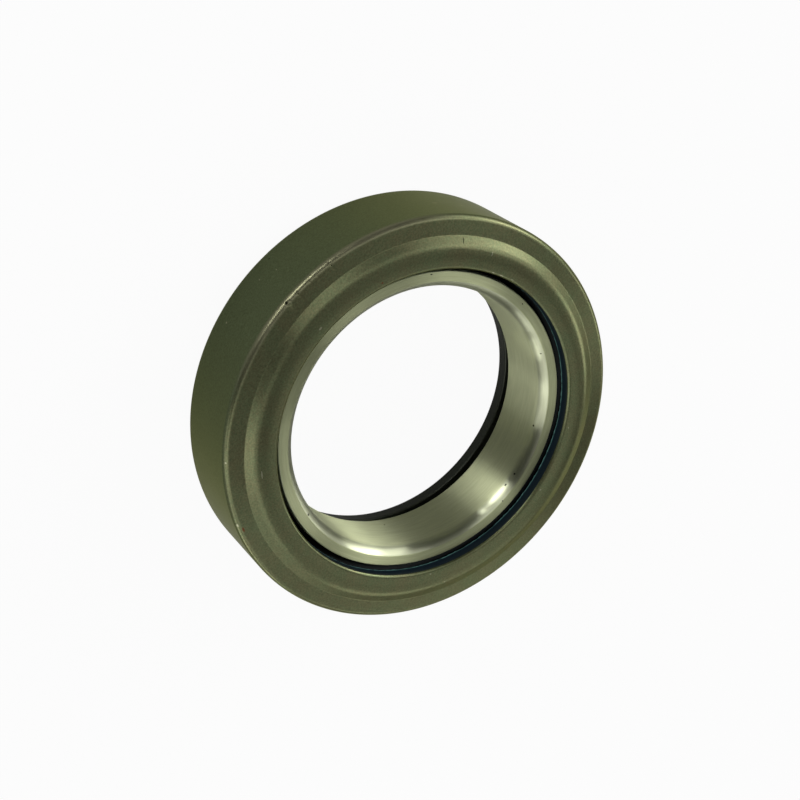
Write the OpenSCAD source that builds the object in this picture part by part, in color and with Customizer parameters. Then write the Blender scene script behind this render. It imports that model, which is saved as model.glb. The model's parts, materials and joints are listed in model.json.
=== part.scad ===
// Sealed thrust ball bearing of the clutch release kind, lying on its rear contact face.
// A drawn sheet casing wraps a hardened outer ring and holds the front seal. The bright inner ring
// sits inside on one row of balls. The axis is Z, and Z = 0 is the rear contact face.
// Every ring is a profile in the plane of radius (X) and height (Y), turned about the axis.
// Radii are counted inwards from the outside of the casing, apart from those of the bore, and
// heights are stacked from the contact face: flange, rear seal, balls, shoulder, land, front face.

/* [Main sizes] */
// Diameter of the bore
bore_d = 65; // [60:0.5:70]
// Radial width of the bearing, from the bore to the outside of the casing
section_w = 17.5; // [16:0.1:19]

/* [Casing] */
// Thickness of the casing's sheet
sheet_t = 1.5; // [1.3:0.1:1.7]
// Width of the flat part of the front face, from the edge of its hole
flat_w = 2.8; // [2.5:0.1:3.2]
// Width of the bowed part of the front face
bow_w = 2.3; // [2:0.1:2.6]
// Fall of the bowed part, in degrees
bow_slope = 8; // [5:1:10]
// Radius of the bow
bow_r = 18; // [10:1:20]
// Width of the step in the front face
step_w = 2.3; // [2:0.1:2.6]
// Slope of the step, in degrees from the face
step_slope = 26; // [22:1:30]
// Radius of the soft shoulder at the top of the step
step_r = 4.5; // [3:0.5:5]
// Width of the outer band of the front face
band_w = 4.5; // [4:0.1:5]
// Fall of the outer band towards the rim, in degrees
band_slope = 8.5; // [6:0.5:10]
// Thickness of the sheet where it is thinned over the seal
lip_t = 0.6; // [0.55:0.05:0.8]
// Width of the soft rounding at the hole's edge
lip_round_w = 0.8; // [0.5:0.05:0.9]
// Radius of the soft rounding at the hole's edge
lip_round_r = 1; // [1:0.1:2]
// Radius of the front corner
front_corner_r = 1; // [0.6:0.1:1.4]
// Radius of the rolled rear corner
rear_corner_r = 1.6; // [1.2:0.1:2]
// Height of the rolled rear rim above the rear contact face
rim_z = 2.7; // [2.3:0.1:3]
// Width of the rolled rear rim
rim_w = 3.4; // [2.8:0.1:3.8]

/* [Outer ring] */
// Thickness of the ring's wall beside the balls
ring_wall = 2; // [1.8:0.1:2.3]
// Height of the shoulder behind its ball groove
outer_shoulder = 3.25; // [2.9:0.05:3.6]
// Thickness of the rear flange
flange_t = 3.2; // [2.8:0.1:3.6]
// How much wider the flange's hole is than the bore, in radius
flange_clear = 1.8; // [1.4:0.1:2.2]
// Depth of the seat for the front seal, from the ring's front face
seat_depth = 3.5; // [3:0.1:3.9]
// Step in radius between the seal seat and the wall beside the balls
seat_step = 0.45; // [0.3:0.05:0.6]
// Edge break on the ring's corners
ring_edge = 0.5; // [0.2:0.1:0.6]

/* [Inner ring] */
// Depth of the inner ring's front face below the casing's front face
recess = 2.9; // [2.6:0.1:3.2]
// Distance in radius from the casing's hole to the front land, under the seal's lip
land_clear = 1.3; // [1.1:0.1:1.5]
// Height of the front land
land_h = 3.8; // [3.4:0.1:4.2]
// Height of the shoulder's top above the ball centres
shoulder_up = 6.8; // [6.2:0.1:7.4]
// Height of the high shoulder beside the groove, in radius
high_shoulder = 3.2; // [2.9:0.1:3.5]
// Height of the low shoulder beside the groove, in radius
low_shoulder = 0.6; // [0.4:0.1:0.9]
// Height of the ball centres above the rear face
rear_down = 5.4; // [5:0.1:5.8]
// Radius of the lead-in curve at the front of the bore
lead_r = 3.75; // [3.4:0.05:4.2]
// Width of the lead-in curve across the face
lead_w = 1.9; // [1.6:0.1:2.2]
// Radius of the rear edge of the bore
bore_edge_r = 0.8; // [0.4:0.1:1]
// Edge break on the outside corners
inner_edge = 0.3; // [0.1:0.1:0.4]

/* [Balls and cage] */
// Diameter of a ball, three eighths of an inch
ball_d = 9.525; // [8.8:0.025:10.4]
// Number of balls
ball_count = 20; // [16:1:22]
// Angle of the line through the contact points, in degrees from the plane of the balls
contact_angle = 45; // [40:1:50]
// Groove radius as a share of the ball diameter
conformity = 0.52; // [0.515:0.001:0.53]
// Height of the cage's rails above and below the pockets
cage_rail = 1; // [0.8:0.1:1.2]
// Room between the cage and the rear seal
cage_room = 1.15; // [0.8:0.05:1.5]

/* [Seals] */
// Thickness of a seal's web
web_t = 1.3; // [1:0.1:1.5]
// Width of a seal's outer rim
rim_t = 2; // [1.6:0.1:2.2]
// Thickness of the front seal's inner wall
collar_t = 1.3; // [1.1:0.1:1.5]
// Height of the front seal's inner wall below the casing's lip
wall_h = 2.55; // [2.2:0.05:2.9]
// Thickness of a sealing lip near its tip
tip_t = 0.6; // [0.4:0.1:0.8]
// Height of the front sealing lip above the foot of its land
front_tip_up = 0.9; // [0.6:0.1:1.2]
// Height of the rear sealing lip above the inner ring's rear face
rear_tip_up = 0.6; // [0.5:0.1:0.9]
// Height of the rear seal's rim
rear_rim_h = 2.1; // [1.9:0.1:2.4]
// Distance from the rear land to the bend in the rear seal's web
web_reach = 2.4; // [2.2:0.1:2.7]

/* [Clearances] */
// Gap between a ball and its grooves along the line of contact
ball_gap = 0.03; // [0.01:0.01:0.05]
// Gap between a ball and its cage pocket
pocket_gap = 0.15; // [0.1:0.05:0.25]
// Gap between the cage and the shoulders on both sides of it
cage_gap = 0.5; // [0.3:0.05:0.6]
// Gap left where one piece is pressed or snapped into another
seat_gap = 0.03; // [0.01:0.01:0.05]
// Gap between a sealing lip and the inner ring
seal_gap = 0.15; // [0.1:0.05:0.25]

/* [Hidden] */
$fn = 96;
ball_names = [for (i = [1:ball_count]) str("ball_", i < 10 ? "0" : "", i)];
// How far a cutting shape runs past the surface that it cuts
past = 1;

ball_r = ball_d / 2;
bore_r = bore_d / 2;
casing_r = bore_r + section_w;
lip_r = casing_r - band_w - step_w - bow_w - flat_w;

// The stack of heights
cage_h = ball_r + pocket_gap + cage_rail;
rear_web_z = flange_t + seat_gap + rear_rim_h;
ball_z = rear_web_z + cage_room + cage_h;
inner_rear_z = ball_z - rear_down;
land_z = ball_z + shoulder_up;
inner_front_z = land_z + land_h;
face_z = inner_front_z + recess;

// Corners of the casing's outer surface, from the hole outwards
bow_corner = [lip_r + flat_w, face_z];
crest = bow_corner + bow_w * [1, -tan(bow_slope)];
step_foot = crest + step_w * [1, -tan(step_slope)];
front_corner = step_foot + band_w * [1, -tan(band_slope)];
rear_corner = [casing_r, rim_z];
rim_r = casing_r - rim_w;

// Point of the sheet's inner surface behind a corner where the slope changes from a to b
function behind(p, a, b) =
    p - sheet_t / cos((b - a) / 2) * [sin((a + b) / 2), cos((a + b) / 2)];
inner_front_corner = behind(front_corner, band_slope, 90);

// The outer ring fills the casing between the rolled rim and the front sheet
ring_r = casing_r - sheet_t - seat_gap;
ring_rear_z = rim_z + sheet_t + seat_gap;
ring_front_z = inner_front_corner[1] - seat_gap;
boss_r = rim_r - seat_gap;
flange_r = bore_r + flange_clear;
beside_r = ring_r - ring_wall;
cavity_r = beside_r - outer_shoulder;
seat_r = beside_r + seat_step;
seat_z = ring_front_z - seat_depth;

// The two grooves have the same radius, and touch their balls on the contact line
groove_r = conformity * ball_d;
groove_shift = (groove_r - ball_r - ball_gap) * [cos(contact_angle), sin(contact_angle)];
pitch_r = beside_r - groove_r + groove_shift[0];
outer_groove = [pitch_r - groove_shift[0], ball_z + groove_shift[1]];
inner_groove = [pitch_r + groove_shift[0], ball_z - groove_shift[1]];

// The inner ring's lands and shoulders
land_r = lip_r - land_clear;
shoulder_r = inner_groove[0] - groove_r + high_shoulder;
rear_land_r = inner_groove[0] - groove_r + low_shoulder;
lead_z = inner_front_z - sqrt(lead_r * lead_r - (lead_r - lead_w) * (lead_r - lead_w));

// The front seal fits between the lip, the casing's sheet and its seat in the outer ring
wall_top_z = face_z - lip_t - seat_gap;
wall_low_z = wall_top_z - wall_h;
collar_r = lip_r + collar_t;
web_top_z = face_z - sheet_t - seat_gap;
front_rim_r = seat_r - seat_gap;
rear_rim_r = cavity_r - seat_gap;

// Point at a distance and a direction from another
function polar(p, r, a) = p + r * [cos(a), sin(a)];

// Turns a profile about the axis
module turned() {
    rotate_extrude() children();
}

// What a rounding takes off a corner at p, where the two edges leave it in directions a and b
module corner_off(p, r, a, b) {
    half = (b - a) / 2;
    centre = polar(p, r / sin(half), a + half);
    difference() {
        polygon([polar(p, -r, a + half), polar(p, r / tan(half), a), centre, polar(p, r / tan(half), b)]);
        translate(centre) circle(r);
    }
}

// The drawn sheet: its outer surface out and down to the rear rim, then its inner surface back
module casing() {
    color([0.31, 0.33, 0.23])
    turned() difference() {
        polygon([
            [lip_r, face_z],
            bow_corner,
            crest,
            step_foot,
            front_corner,
            rear_corner,
            [rim_r, rim_z],
            [rim_r, rim_z + sheet_t],
            [casing_r - sheet_t, rim_z + sheet_t],
            inner_front_corner,
            behind(step_foot, step_slope, band_slope),
            behind(crest, bow_slope, step_slope),
            behind(bow_corner, 0, bow_slope),
            [collar_r + seat_gap, face_z - sheet_t],
            [collar_r + seat_gap, face_z - lip_t],
            [lip_r, face_z - lip_t]
        ]);
        corner_off(bow_corner, bow_r, 180, 360 - bow_slope);
        corner_off(crest, step_r, 180 - bow_slope, 360 - step_slope);
        corner_off(front_corner, front_corner_r, 180 - band_slope, 270);
        corner_off(rear_corner, rear_corner_r, 90, 180);
        lip_rounding();
    }
}

// The soft edge of the hole: an arc that meets the face smoothly and the hole's wall at an edge
module lip_rounding() {
    edge_z = face_z - lip_round_r + sqrt(lip_round_r * lip_round_r - lip_round_w * lip_round_w);
    difference() {
        translate([lip_r - past, edge_z]) square([lip_round_w + past, face_z - edge_z + past]);
        translate([lip_r + lip_round_w, face_z - lip_round_r]) circle(lip_round_r);
    }
}

// The rotating race: rear flange, boss inside the rolled rim, ball groove and front seal seat
module outer_ring() {
    color([0.27, 0.29, 0.2])
    turned() difference() {
        polygon([
            [flange_r, 0],
            [boss_r, 0],
            [boss_r, ring_rear_z],
            [ring_r, ring_rear_z],
            [ring_r, ring_front_z],
            [seat_r, ring_front_z],
            [seat_r, seat_z],
            [beside_r, seat_z],
            [beside_r, outer_groove[1]],
            [cavity_r, outer_groove[1]],
            [cavity_r, flange_t],
            [flange_r, flange_t]
        ]);
        translate(outer_groove) circle(groove_r);
        corner_off([flange_r, 0], ring_edge, 0, 90);
        corner_off([flange_r, flange_t], ring_edge, -90, 0);
        corner_off([boss_r, 0], ring_edge, 90, 180);
        corner_off([ring_r, ring_rear_z], ring_edge, 90, 180);
        corner_off([ring_r, ring_front_z], ring_edge, 180, 270);
    }
}

// The fixed race: bore with its lead-in curve, two lands and the ball groove between them
module inner_ring() {
    color([0.68, 0.69, 0.64])
    turned() difference() {
        polygon([
            [bore_r, inner_rear_z],
            [rear_land_r, inner_rear_z],
            [rear_land_r, inner_groove[1]],
            [shoulder_r, inner_groove[1]],
            [shoulder_r, land_z],
            [land_r, land_z],
            [land_r, inner_front_z],
            [bore_r, inner_front_z]
        ]);
        translate(inner_groove) circle(groove_r);
        lead_in();
        corner_off([bore_r, inner_rear_z], bore_edge_r, 0, 90);
        corner_off([rear_land_r, inner_rear_z], inner_edge, 90, 180);
        corner_off([shoulder_r, land_z], inner_edge, 180, 270);
        corner_off([land_r, inner_front_z], inner_edge, 180, 270);
    }
}

// The lead-in curve: an arc that meets the bore smoothly and the face at an edge
module lead_in() {
    difference() {
        translate([bore_r - past, lead_z]) square([lead_w + past, inner_front_z - lead_z + past]);
        translate([bore_r + lead_r, lead_z]) circle(lead_r);
    }
}

// The front seal: a wall flush with the casing's lip, a web, a rim in its seat and a wiping lip
module front_seal() {
    tip_z = land_z + front_tip_up;
    color([0.06, 0.12, 0.2])
    turned() polygon([
        [lip_r, wall_top_z],
        [collar_r, wall_top_z],
        [collar_r, web_top_z],
        [bow_corner[0], web_top_z],
        [front_rim_r - rim_t, ring_front_z],
        [front_rim_r, ring_front_z],
        [front_rim_r, seat_z + seat_gap],
        [front_rim_r - rim_t, seat_z + seat_gap],
        [front_rim_r - rim_t, ring_front_z - web_t],
        [bow_corner[0], web_top_z - web_t],
        [collar_r + tip_t, tip_z + tip_t],
        [land_r + seal_gap, tip_z],
        [land_r + seal_gap, tip_z + tip_t],
        [collar_r, wall_low_z - tip_t],
        [collar_r, wall_low_z],
        [lip_r, wall_low_z]
    ]);
}

// The rear seal: a rim in the cavity, a web and a lip that wipes the inner ring's rear land
module rear_seal() {
    tip_z = inner_rear_z + rear_tip_up;
    color([0.05, 0.07, 0.09])
    turned() polygon([
        [rear_rim_r, flange_t + seat_gap],
        [rear_rim_r, rear_web_z],
        [rear_land_r + web_reach, rear_web_z],
        [rear_land_r + seal_gap + tip_t, tip_z + tip_t],
        [rear_land_r + seal_gap, tip_z + tip_t],
        [rear_land_r + seal_gap, tip_z],
        [rear_land_r + web_reach - web_t, rear_web_z - web_t],
        [rear_rim_r - rim_t, rear_web_z - web_t],
        [rear_rim_r - rim_t, flange_t + seat_gap]
    ]);
}

// Puts something at the place of a ball on the pitch circle
module at_ball(i) {
    rotate([0, 0, (i - 1) * 360 / ball_count]) translate([pitch_r, 0, ball_z]) children();
}

// The cage: a band between the shoulders of the two rings, with a round pocket for each ball
module cage() {
    cage_r = shoulder_r + cage_gap;
    color([0.78, 0.72, 0.52])
    difference() {
        turned() translate([cage_r, ball_z - cage_h]) square([cavity_r - cage_gap - cage_r, 2 * cage_h]);
        for (i = [1:ball_count]) at_ball(i) sphere(ball_r + pocket_gap, $fn = 32);
    }
}

module ball(i) {
    color([0.8, 0.8, 0.82])
    at_ball(i) sphere(ball_r, $fn = 24);
}

casing();
outer_ring();
inner_ring();
front_seal();
rear_seal();
cage();
for (i = [1:ball_count]) ball(i);
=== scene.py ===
# %% [markdown]
# # A sealed thrust bearing, dressed
# The construction comes packed, with every ring, seal and ball at its real size. This script adds
# what a camera sees: finely turned skins for the rings, their small nicks and worn edges, painted
# highlights on the casing's front corner and the seal's edge, painted shade in the seal's gap, and
# the finishes of phosphated sheet, ground steel and rubber. It works in metres, in the imported
# frame, where the bearing lies flat on its rear face and Z is its axis.

# %% Load the imported bearing
import json
import math

import bpy
import numpy as np
from mathutils import Matrix, Vector


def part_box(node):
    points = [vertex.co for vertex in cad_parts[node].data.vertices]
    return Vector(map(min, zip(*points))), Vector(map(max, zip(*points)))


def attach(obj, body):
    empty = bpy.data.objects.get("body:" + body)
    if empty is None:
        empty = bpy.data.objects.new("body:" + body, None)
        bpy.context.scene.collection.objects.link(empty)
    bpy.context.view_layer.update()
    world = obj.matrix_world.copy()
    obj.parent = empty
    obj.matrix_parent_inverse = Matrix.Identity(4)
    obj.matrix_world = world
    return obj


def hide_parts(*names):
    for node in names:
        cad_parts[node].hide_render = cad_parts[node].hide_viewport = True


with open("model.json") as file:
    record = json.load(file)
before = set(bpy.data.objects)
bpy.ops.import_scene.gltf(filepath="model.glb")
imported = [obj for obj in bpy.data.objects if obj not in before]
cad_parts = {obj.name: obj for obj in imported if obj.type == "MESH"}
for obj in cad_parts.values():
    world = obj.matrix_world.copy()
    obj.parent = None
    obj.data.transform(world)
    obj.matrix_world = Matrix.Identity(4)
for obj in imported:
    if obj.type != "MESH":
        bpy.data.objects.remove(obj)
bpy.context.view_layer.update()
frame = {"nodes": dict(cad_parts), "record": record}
MM = 0.001

# %% [markdown]
# ## The camera
# The picture looks at the bearing's front from 37 degrees off its axis, and the camera is rolled, so
# that the bearing seems to stand on its rim. Three angles could be typed in, but they are hard to
# read back. Three directions say the same: the camera's right and up, and the way back from the
# bearing. They are the columns of its matrix. The middle of the front lies a little right of the
# picture's centre and a little below it.

# %% Camera
OFF_AXIS = math.radians(36.986)
ROLL = math.radians(38.18)
DISTANCE = 0.3706
AIM_HEIGHT = 23.25 * MM
AIM_RIGHT = 5.57 * MM
AIM_DOWN = 5.36 * MM
LENS_MM = 72.23
SENSOR_MM = 36.0
NEAREST, FARTHEST = 0.01, 20.0


def photo_camera():
    """A camera tilted OFF_AXIS from the bearing's axis, turned by ROLL about its own line of sight."""
    sin_r, cos_r = math.sin(ROLL), math.cos(ROLL)
    sin_o, cos_o = math.sin(OFF_AXIS), math.cos(OFF_AXIS)
    right = np.array([-sin_r, cos_o * cos_r, sin_o * cos_r])
    up = -np.array([cos_r, cos_o * sin_r, sin_o * sin_r])
    back = np.array([0.0, -sin_o, cos_o])
    aim = np.array([0.0, 0.0, AIM_HEIGHT])
    matrix = np.eye(4)
    matrix[:3, :3] = np.stack([right, up, back], axis=1)
    matrix[:3, 3] = aim - AIM_RIGHT * right + AIM_DOWN * up + DISTANCE * back
    data = bpy.data.cameras.new("photo_camera")
    data.lens, data.sensor_width = LENS_MM, SENSOR_MM
    data.clip_start, data.clip_end = NEAREST, FARTHEST
    camera = bpy.data.objects.new("photo_camera", data)
    camera.matrix_world = Matrix(matrix.tolist())
    bpy.context.scene.collection.objects.link(camera)
    bpy.context.scene.camera = camera
    return camera


camera = photo_camera()
print("camera at", [round(x, 4) for x in camera.matrix_world.translation])

# %% [markdown]
# ## Sections
# Every ring of the bearing comes off a lathe or out of a drawing die, so one method serves them all:
# a section of corners, each with its own rounding, is carried round the axis. A modifier could spin
# it, but worked out as arrays the angles can be close together where a nick needs them and wide
# apart elsewhere, and the nicks are pushed into the same grid. Beside each corner a holding point
# keeps the smooth shading of the corner from spreading over the flat side.

# %% Rounded corners
ARC_TURN = math.radians(9)
ARC_STEP = 0.35


def rounded(corner, before, after, radius):
    """The arc of that radius that touches both sides of a corner: its centre lies on the bisector."""
    to_before = (before - corner) / np.linalg.norm(before - corner)
    to_after = (after - corner) / np.linalg.norm(after - corner)
    half = math.acos(np.clip(to_before @ to_after, -1, 1)) / 2
    middle = to_before + to_after
    centre = corner + middle / np.linalg.norm(middle) * radius / math.sin(half)
    start = corner + to_before * radius / math.tan(half) - centre
    turn = math.pi - 2 * half
    count = 1 + math.ceil(max(turn / ARC_TURN, turn * radius / ARC_STEP))
    turn *= 1 if start[1] * to_before[0] - start[0] * to_before[1] > 0 else -1
    share = np.linspace(0, 1, count + 1)[:, None] * turn
    across = np.array([-start[1], start[0]])
    return centre + np.cos(share) * start + np.sin(share) * across


square = rounded(np.zeros(2), np.array([9.0, 0.0]), np.array([0.0, 9.0]), radius=1.0)
print("a square corner rounded by 1 mm has", len(square), "points")

# %% Sides and whole sections
HOLD = 0.12
TOO_SHORT = 4 * HOLD


def side(start, end, step):
    """Points from start towards end: a holding point at both ends, others at most step apart."""
    length = np.linalg.norm(end - start)
    if length < TOO_SHORT:
        return start[None]
    inner = np.linspace(HOLD, length - HOLD, max(1, math.ceil(length / step)) + 1)
    share = np.concatenate([[0], inner])[:, None] / length
    return start * (1 - share) + end * share


def section(corners, step):
    """A closed outline in mm from corners (radius, height, rounding)."""
    places = np.array([c[:2] for c in corners], float)
    after = np.roll(places, -1, axis=0)
    arcs = [
        rounded(places[i], places[i - 1], after[i], corner[2]) if corner[2] else places[i : i + 1]
        for i, corner in enumerate(corners)
    ]
    parts = []
    for arc, next_arc in zip(arcs, arcs[1:] + arcs[:1]):
        parts += [arc[:-1], side(arc[-1], next_arc[0], step)]
    return np.concatenate(parts)


def arc_corners(centre_r, centre_z, radius, start, end, count):
    """Corners along an arc from one direction to another, in radians from outwards towards up."""
    turn = np.linspace(start, end, count)
    return [(centre_r + radius * math.cos(t), centre_z + radius * math.sin(t), 0) for t in turn]


bar = section([(0, 0, 0), (9, 0, 1), (9, 9, 0), (0, 9, 0)], step=3.0)
print("a square bar's section with one round corner has", len(bar), "points")


# %% Angles round the axis
def angles_round(steps, spots=(), reach=2.0, close=0.2):
    """Even angles all round, and closer ones within reach of each spot, kept a tenth apart."""
    near = [np.arange(spot - reach, spot + reach, close) for spot in spots]
    found = np.concatenate([np.arange(steps) * 360 / steps, *near]) % 360
    return np.radians(np.unique(np.round(found, 1) if len(spots) else found))


print("360 steps and one close stretch make", len(angles_round(360, [90.0])), "angles")


# %% Carry a section round the axis
def new_mesh(name, points, faces):
    """A smooth mesh from whole arrays of points in metres and of four-cornered faces."""
    mesh = bpy.data.meshes.new(name)
    mesh.vertices.add(len(points))
    mesh.vertices.foreach_set("co", points.astype(np.float32).ravel())
    mesh.loops.add(faces.size)
    mesh.loops.foreach_set("vertex_index", faces.astype(np.int32).ravel())
    mesh.polygons.add(len(faces))
    mesh.polygons.foreach_set("loop_start", np.arange(len(faces), dtype=np.int32) * 4)
    mesh.polygons.foreach_set("use_smooth", np.ones(len(faces), bool))
    mesh.update(calc_edges=True)
    return mesh


def turned(name, outline, angles, shape=None):
    """x = r cos a, y = r sin a, z = height for each outline point and angle a, reshaped if asked.

    The volume adds up the two tetrahedra from the origin to the halves of each face: first corner .
    (second x third + third x fourth) / 6. Where it comes out negative, the faces look inwards, and
    their corners are put in the other order.
    """
    r, z = outline[:, :1] + 0 * angles, outline[:, 1:] + 0 * angles
    if shape is not None:
        r, z = shape(r, z, angles)
    points = np.stack([r * np.cos(angles), r * np.sin(angles), z], axis=-1).reshape(-1, 3) * MM
    grid = np.arange(len(points)).reshape(r.shape)
    along, down = np.roll(grid, -1, axis=1), np.roll(grid, -1, axis=0)
    faces = np.stack([grid, along, np.roll(down, -1, axis=1), down], axis=-1).reshape(-1, 4)
    corner = points[faces]
    crossed = np.cross(corner[:, 1], corner[:, 2]) + np.cross(corner[:, 2], corner[:, 3])
    volume = (corner[:, 0] * crossed).sum() / 6
    if volume < 0:
        faces = faces[:, ::-1]
    piece = bpy.data.objects.new(name, new_mesh(name, points, faces))
    bpy.context.scene.collection.objects.link(piece)
    print(name, 2 * len(faces), "triangles,", round(abs(volume) / MM**3, 1), "cubic mm")
    return piece


# %% [markdown]
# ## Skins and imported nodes
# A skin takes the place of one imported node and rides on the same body, so that it moves as the real
# piece does. A picture alone can't show that the two agree. So the distance from some of the node's
# corners to the skin is measured and printed. A dent between those corners isn't in that number.

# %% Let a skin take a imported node's place
MEASURED = 500


def dress(piece, node, body, material):
    """The piece stands for a node; prints how far about MEASURED of its corners lie from the skin."""
    piece.data.materials.append(material)
    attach(piece, body)
    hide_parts(node)
    packed = frame["nodes"][node].data.vertices
    places = np.empty(len(packed) * 3, np.float32)
    packed.foreach_get("co", places)
    places = places.reshape(-1, 3)[:: max(1, len(packed) // MEASURED)]
    skin = piece.evaluated_get(bpy.context.evaluated_depsgraph_get())
    gaps = [(Vector(p) - skin.closest_point_on_mesh(p)[1]).length for p in places.tolist()]
    print(piece.name, "lies within", round(max(gaps) / MM, 3), "mm of", node)


# %% [markdown]
# ## Shader groups
# Four effects are shared. Ring coordinates turn a place on any ring into its radius, its height and
# a direction round the axis, and no pattern made from them shows a seam. Turning marks are fine
# lines round the axis, as a tool or a grinding wheel leaves. Specks are sparse small dots of dust or
# rust. A mark is one scratch or fleck at a chosen place. Painted images could hold all this, but
# worked out from a place they stay sharp at any distance. Small helpers add the nodes.

# %% Node helpers
def add(tree, kind, inputs, **settings):
    """A node whose inputs are linked where a socket is given, and filled in where a value is."""
    node = tree.nodes.new("ShaderNode" + kind)
    for name, value in settings.items():
        setattr(node, name, value)
    for name, value in inputs.items():
        if isinstance(value, bpy.types.NodeSocket):
            tree.links.new(value, node.inputs[name])
        else:
            node.inputs[name].default_value = value
    return node


def calc(tree, operation, *values):
    """A Math node's result."""
    return add(tree, "Math", dict(enumerate(values)), operation=operation).outputs[0]


def scaled(tree, value, by, plus):
    """value x by + plus, in one Math node."""
    return calc(tree, "MULTIPLY_ADD", value, by, plus)


def vector(tree, operation, *values):
    """A Vector Math node's vector."""
    return add(tree, "VectorMath", dict(enumerate(values)), operation=operation).outputs[0]


def length(tree, value):
    """The length of a vector."""
    return add(tree, "VectorMath", {0: value}, operation="LENGTH").outputs["Value"]


def ramp(tree, value, start, end, low=0.0, high=1.0):
    """A smooth change from low to high while the value goes from start to end."""
    inputs = {"Value": value, "From Min": start, "From Max": end, "To Min": low, "To Max": high}
    return add(tree, "MapRange", inputs, interpolation_type="SMOOTHSTEP").outputs["Result"]


def blend(tree, share, first, second, kind="MIX"):
    """A colour between two colours, or their product; output 2 of the node is the colour."""
    mix = add(tree, "Mix", {0: share, 6: first, 7: second}, data_type="RGBA", blend_type=kind)
    return mix.outputs[2]


def noise(tree, place, scale, detail=2.0, rough=0.5):
    """A noise value, 0 to 1, its grains about 1 / scale across."""
    inputs = {"Vector": place, "Scale": scale, "Detail": detail, "Roughness": rough}
    return add(tree, "TexNoise", inputs).outputs["Fac"]


def new_group(name, inputs, outputs):
    """An empty node group with named sockets; a default of three values makes a vector."""
    tree = bpy.data.node_groups.new(name, "ShaderNodeTree")
    for label, default in inputs.items():
        kind = "NodeSocketVector" if isinstance(default, tuple) else "NodeSocketFloat"
        socket = tree.interface.new_socket(label, in_out="INPUT", socket_type=kind)
        socket.default_value = default
    for label, kind in outputs.items():
        tree.interface.new_socket(label, in_out="OUTPUT", socket_type="NodeSocket" + kind)
    return tree, tree.nodes.new("NodeGroupInput").outputs, tree.nodes.new("NodeGroupOutput").inputs


def use(tree, group, inputs):
    """A group placed in a material; gives its outputs."""
    return add(tree, "Group", inputs, node_tree=group).outputs


# %% Ring coordinates
def ring_coordinates():
    """Radius = length of (x, y), height = z, both in mm; direction = (x, y) / radius."""
    outputs = {"Place": "Vector", "Radius": "Float", "Height": "Float", "Direction": "Vector"}
    tree, given, found = new_group("ring_coordinates", {"Object": (0.0, 0.0, 0.0)}, outputs)
    place = vector(tree, "MULTIPLY", given["Object"], (1 / MM,) * 3)
    level = vector(tree, "MULTIPLY", place, (1.0, 1.0, 0.0))
    tree.links.new(place, found["Place"])
    tree.links.new(length(tree, level), found["Radius"])
    tree.links.new(add(tree, "SeparateXYZ", {0: place}).outputs["Z"], found["Height"])
    tree.links.new(vector(tree, "NORMALIZE", level), found["Direction"])
    return tree


# %% Turning marks
def turning_marks():
    """Noise of (direction x run, radius + height): long round the axis, short along the section."""
    ring = {"Direction": (1.0, 0.0, 0.0), "Radius": 40.0, "Height": 0.0}
    inputs = {**ring, "Run": 4.0, "Lines per mm": 4.0}
    tree, given, found = new_group("turning_marks", inputs, {"Value": "Float"})
    along = calc(tree, "ADD", given["Radius"], given["Height"])
    across = calc(tree, "MULTIPLY", along, given["Lines per mm"])
    stretch = {0: given["Direction"], "Scale": given["Run"]}
    around = add(tree, "VectorMath", stretch, operation="SCALE").outputs[0]
    lift = add(tree, "CombineXYZ", {"Z": across}).outputs[0]
    lines = noise(tree, vector(tree, "ADD", around, lift), scale=1.0, detail=3.0, rough=0.6)
    tree.links.new(lines, found["Value"])
    return tree


# %% Specks
BEND_MM = 0.4
SMALLEST = 0.35
SOFT_EDGE_MM = 0.08


def specks():
    """Dots at the centres of Voronoi cells, each of its own random size; most cells have none."""
    inputs = {"Place": (0.0, 0.0, 0.0), "Spacing mm": 6.0, "Size mm": 0.3, "Share": 0.4}
    tree, given, found = new_group("specks", inputs, {"Mask": "Float"})
    scale = calc(tree, "DIVIDE", 1.0, given["Spacing mm"])
    bent = calc(tree, "MULTIPLY", noise(tree, given["Place"], scale=3.0, detail=1.0), BEND_MM)
    shift = add(tree, "CombineXYZ", {0: bent, 1: bent}).outputs[0]
    moved = vector(tree, "ADD", given["Place"], shift)
    cells = add(tree, "TexVoronoi", {"Vector": moved, "Scale": scale}).outputs
    far = calc(tree, "MULTIPLY", cells["Distance"], given["Spacing mm"])
    chance = add(tree, "SeparateXYZ", {0: cells["Color"]}).outputs
    taken = calc(tree, "LESS_THAN", chance["X"], given["Share"])
    size = calc(tree, "MULTIPLY", given["Size mm"], calc(tree, "ADD", SMALLEST, chance["Y"]))
    inside = ramp(tree, calc(tree, "SUBTRACT", size, far), start=0.0, end=SOFT_EDGE_MM)
    tree.links.new(calc(tree, "MULTIPLY", taken, inside), found["Mask"])
    return tree


# %% One mark
RAGGED_SHARE = 0.7
SOFT_SHARE = 0.3


def one_mark():
    """1 inside an ellipsoid turned to face outwards at its angle, with a soft ragged edge.

    The edge lies where (distance / half size) + RAGGED_SHARE x noise is 1 + RAGGED_SHARE / 2.
    """
    zero = (0.0, 0.0, 0.0)
    shape = {"Turn": 0.0, "Half size": (1.0, 1.0, 1.0), "Ragged": 0.5}
    inputs = {"Place": zero, "Centre": zero, **shape}
    tree, given, found = new_group("one_mark", inputs, {"Mask": "Float"})
    away = vector(tree, "SUBTRACT", given["Place"], given["Centre"])
    back = calc(tree, "MULTIPLY", given["Turn"], -1.0)
    facing = add(tree, "VectorRotate", {"Vector": away, "Angle": back}, rotation_type="Z_AXIS")
    far = length(tree, vector(tree, "DIVIDE", facing.outputs[0], given["Half size"]))
    ragged = scaled(tree, given["Ragged"], by=RAGGED_SHARE, plus=far)
    edge = 1 + RAGGED_SHARE / 2
    tree.links.new(ramp(tree, ragged, start=edge, end=edge - SOFT_SHARE), found["Mask"])
    return tree


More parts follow.
